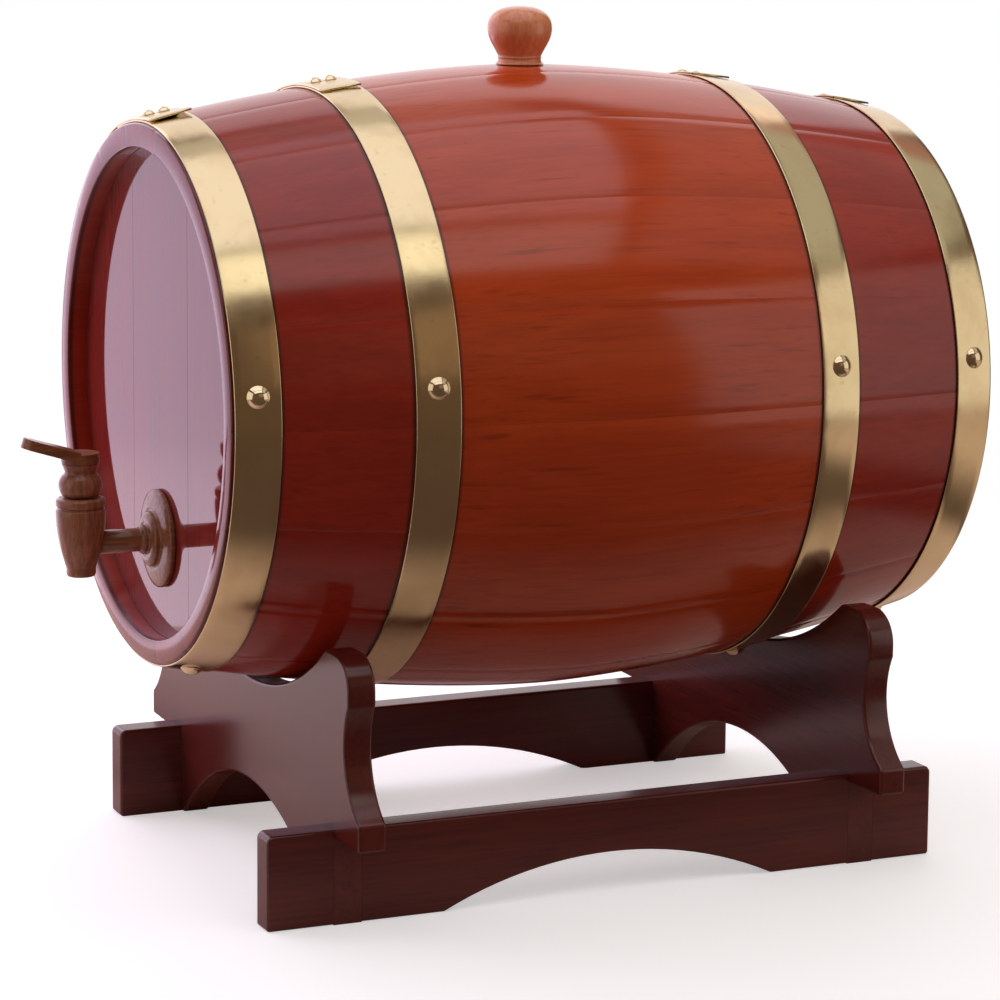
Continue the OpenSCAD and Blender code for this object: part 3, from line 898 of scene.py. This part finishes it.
bm = bmesh.new()
add_turned(bm, rounded(tap_body_outline()), tap_top, FINE_TURN)
smooth_by_angle(bm, 40)
piece = new_object("tap_body_turned", bm, "barrel", tap_wood, ("tap_body",))
piece.pass_index = FIRST_INDEX["tap_body"]

bm = bmesh.new()
add_turned(bm, rounded(spigot_outline(FACE_Y - TAP.y - STEM_END)), along_bore, FINE_TURN)
smooth_by_angle(bm, 40)
piece = new_object("tap_spigot_turned", bm, "barrel", stem_wood, ("tap_spigot",))
piece.pass_index = FIRST_INDEX["tap_spigot"]

bm = bmesh.new()
add_turned(bm, key_profile(), tap_top, FINE_TURN)
smooth_by_angle(bm, 40)
piece = new_object("tap_key_turned", bm, "tap_key", tap_wood, ("tap_key",))
piece.pass_index = FIRST_INDEX["tap_key"]

piece = softened("tap_lever", LEVER_ROUNDING, "tap_key", stem_wood, steps=6)
piece.pass_index = FIRST_INDEX["tap_lever"]


# ---------------------------------------------------------------- stage, light and camera

FLOOR_R = 1.6
# distances from its middle between which the floor fades out
FLOOR_FADE = (0.45, 1.5)
FLOOR_GLOW = 0.45
# painted light and painted shade for the floor's colour, seen only in reflections and bounced light
FLOOR_PAINTED_LIGHT = (0.78, 0.63, 0.55)
FLOOR_PAINTED_SHADE = (0.13, 0.09, 0.07)


def pale_floor():
    """Matt pale floor that fades into the bright surroundings far from the object.

    The camera sees it evenly pale. To reflections and bounced light its colour paints light under the stand,
    at the tap end and beyond the rear head, and paints shade elsewhere, like a lit table in a dark room.
    """
    s = Shader("floor_paint")
    cloud = s.noise(s.coords, 3.0, detail=3, rough=0.5)
    pale = s.mix(cloud, (0.82, 0.82, 0.82), (0.78, 0.78, 0.79))
    s.set(specular_ior_level=0.2)
    path = s.tree.nodes.new("ShaderNodeLightPath")
    x, y = s.parts(s.coords)[:2]
    # painted pools of light under the barrel, at the tap end and beyond the rear head, painted shade
    # elsewhere
    lean = s.math("MULTIPLY", s.math("MAXIMUM", s.math("SUBTRACT", y, 0.27), 0.0), 2.5)
    under = s.math("MULTIPLY", s.ramp(s.math("ADD", x, lean), 0.12, 0.25, 1, 0), s.ramp(x, -0.20, -0.12))
    front = s.math("MULTIPLY", s.ramp(x, 0.05, 0.20, 1, 0), s.ramp(y, -0.22, -0.12, 1, 0))
    rear = s.math("MULTIPLY", s.ramp(x, 0.60, 0.72, 1, 0), s.ramp(y, 0.32, 0.44))
    lit = s.math("MAXIMUM", s.math("MAXIMUM", under, front), rear)
    painted_light_and_shade = s.mix(lit, FLOOR_PAINTED_SHADE, FLOOR_PAINTED_LIGHT)
    s.set(base_color=s.mix(path.outputs["Is Camera Ray"], painted_light_and_shade, pale), roughness=0.65)
    s.set(emission_color=(1, 1, 1))
    glow = s.math("MULTIPLY", path.outputs["Is Camera Ray"], FLOOR_GLOW)
    s.link(glow, s.main.inputs["Emission Strength"])
    away = s.vector("LENGTH", s.coords)
    clear = s.tree.nodes.new("ShaderNodeBsdfTransparent")
    fade = s.tree.nodes.new("ShaderNodeMixShader")
    s.link(s.ramp(away, *FLOOR_FADE), fade.inputs[0])
    s.link(s.main.outputs[0], fade.inputs[1])
    s.link(clear.outputs[0], fade.inputs[2])
    out = next(n for n in s.tree.nodes if n.type == "OUTPUT_MATERIAL")
    s.link(fade.outputs[0], out.inputs[0])
    return s.material


bm = bmesh.new()
bmesh.ops.create_circle(bm, cap_ends=True, segments=FINE_TURN, radius=FLOOR_R)
mesh = bpy.data.meshes.new("floor")
bm.to_mesh(mesh)
bm.free()
mesh.materials.append(pale_floor())
floor = bpy.data.objects.new("floor", mesh)
floor.location.y = BARREL.y
bpy.context.scene.collection.objects.link(floor)


def soft_box(name, at, towards, width, height, radiance, colour=(1, 1, 1), diffuse=True, glossy=True):
    """Rectangular soft light; radiance is how bright its face looks.

    diffuse and glossy say whether it lights matt surfaces and whether it shows in reflections.
    """
    data = bpy.data.lights.new(name, "AREA")
    data.shape = "RECTANGLE"
    data.size = width
    data.size_y = height
    data.energy = radiance * width * height * math.pi
    data.color = colour
    lamp = bpy.data.objects.new(name, data)
    lamp.location = at
    aim = Vector(towards) - Vector(at)
    lamp.rotation_euler = aim.to_track_quat("-Z", "Y").to_euler()
    lamp.visible_camera = False
    lamp.visible_diffuse = diffuse
    lamp.visible_glossy = glossy
    bpy.context.scene.collection.objects.link(lamp)


def overhead_box(name, x, y, width, height, radiance, colour=(1, 1, 1), diffuse=True, glossy=True):
    """A soft light above the object that faces straight down."""
    ceiling = 1.6
    soft_box(name, (x, y, ceiling), (x, y, 0), width, height, radiance, colour, diffuse, glossy)


overhead_box("overhead", 0.035, -0.30, 1.31, 2.00, 1.12, (0.97, 0.95, 1.05))
overhead_box("overhead_side", 1.08, -0.30, 0.62, 2.00, 1.28, (1.0, 0.98, 0.94))
overhead_box("overhead_rear", 0.35, 1.40, 2.0, 1.1, 0.42, (0.95, 1.0, 0.95))
overhead_box("overhead_left", -0.82, -0.10, 0.34, 1.3, 0.50, diffuse=False)
overhead_box("overhead_far", -0.95, 1.40, 0.60, 1.1, 0.30, (1.0, 0.42, 0.40), diffuse=False)
overhead_box("above", 0, 0, 1.6, 1.6, 0.84, (1.0, 0.95, 0.92), glossy=False)
soft_box("front_left", (-0.42, -0.38, 0.42), (0.483, 0.025, 0.42), 0.64, 0.84, 1.30, (0.96, 0.84, 1.12))
soft_box("left_fill", (-0.80, -0.62, 0.50), (0, -0.10, 0.2), 1.3, 0.9, 0.9, (1.0, 0.85, 0.95), glossy=False)
soft_box("front", (0.15, -1.35, 0.50), (0.15, 0, 0.30), 1.2, 1.2, 0.8, (1.0, 0.93, 0.88), diffuse=False)
soft_box("back_left", (-1.446, 0.40, 0.85), (-0.096, -0.19, 0.2), 1.92, 1.7, 0.96, (1.0, 0.95, 1.0))
soft_box("right_rear", (0.60, 0.78, 0.36), (0, 0.05, 0.24), 0.75, 0.72, 0.80, (1.0, 0.96, 0.92))
soft_box("right_glow", (1.50, 0.42, 0.80), (0, 0, 0.2), 1.3, 0.70, 0.17, (1.0, 0.66, 0.42))

# the camera sees white surroundings, everything else a dim warm fill
SEEN_COLOUR = (1, 1, 1, 1)
FILL_COLOUR = (1, 0.64, 0.46, 1)
FILL_STRENGTH = 0.12

world = bpy.data.worlds.new("surroundings")
world.use_nodes = True
bpy.context.scene.world = world
tree = world.node_tree
tree.nodes.clear()
seen = tree.nodes.new("ShaderNodeBackground")
seen.inputs["Color"].default_value = SEEN_COLOUR
fill = tree.nodes.new("ShaderNodeBackground")
fill.inputs["Color"].default_value = FILL_COLOUR
fill.inputs["Strength"].default_value = FILL_STRENGTH
choose = tree.nodes.new("ShaderNodeMixShader")
path = tree.nodes.new("ShaderNodeLightPath")
out = tree.nodes.new("ShaderNodeOutputWorld")
tree.links.new(path.outputs["Is Camera Ray"], choose.inputs[0])
tree.links.new(fill.outputs[0], choose.inputs[1])
tree.links.new(seen.outputs[0], choose.inputs[2])
tree.links.new(choose.outputs[0], out.inputs[0])

# the camera looks at the barrel's middle from its right side and the tap end
AZIMUTH = math.radians(65.83)
ELEVATION = math.radians(8.15)
DISTANCE = 1.5402
ROLL = math.radians(0.53)
LENS_MM = 128.42
SENSOR_MM = 36
SHIFT = (-0.01667, -0.12659)
back = Vector((
    math.sin(AZIMUTH) * math.cos(ELEVATION),
    -math.cos(AZIMUTH) * math.cos(ELEVATION),
    math.sin(ELEVATION),
))
level = Vector((math.cos(AZIMUTH), math.sin(AZIMUTH), 0))
upright = level.cross(-back)
right = math.cos(ROLL) * level + math.sin(ROLL) * upright
up = math.cos(ROLL) * upright - math.sin(ROLL) * level
camera_data = bpy.data.cameras.new("camera")
camera_data.lens = LENS_MM
camera_data.sensor_width = SENSOR_MM
camera_data.shift_x, camera_data.shift_y = SHIFT
camera = bpy.data.objects.new("camera", camera_data)
turn = Matrix((right, up, back)).transposed().to_4x4()
camera.matrix_world = Matrix.Translation(BARREL + back * DISTANCE) @ turn
bpy.context.scene.collection.objects.link(camera)
bpy.context.scene.camera = camera
bpy.context.scene.view_settings.view_transform = "Standard"
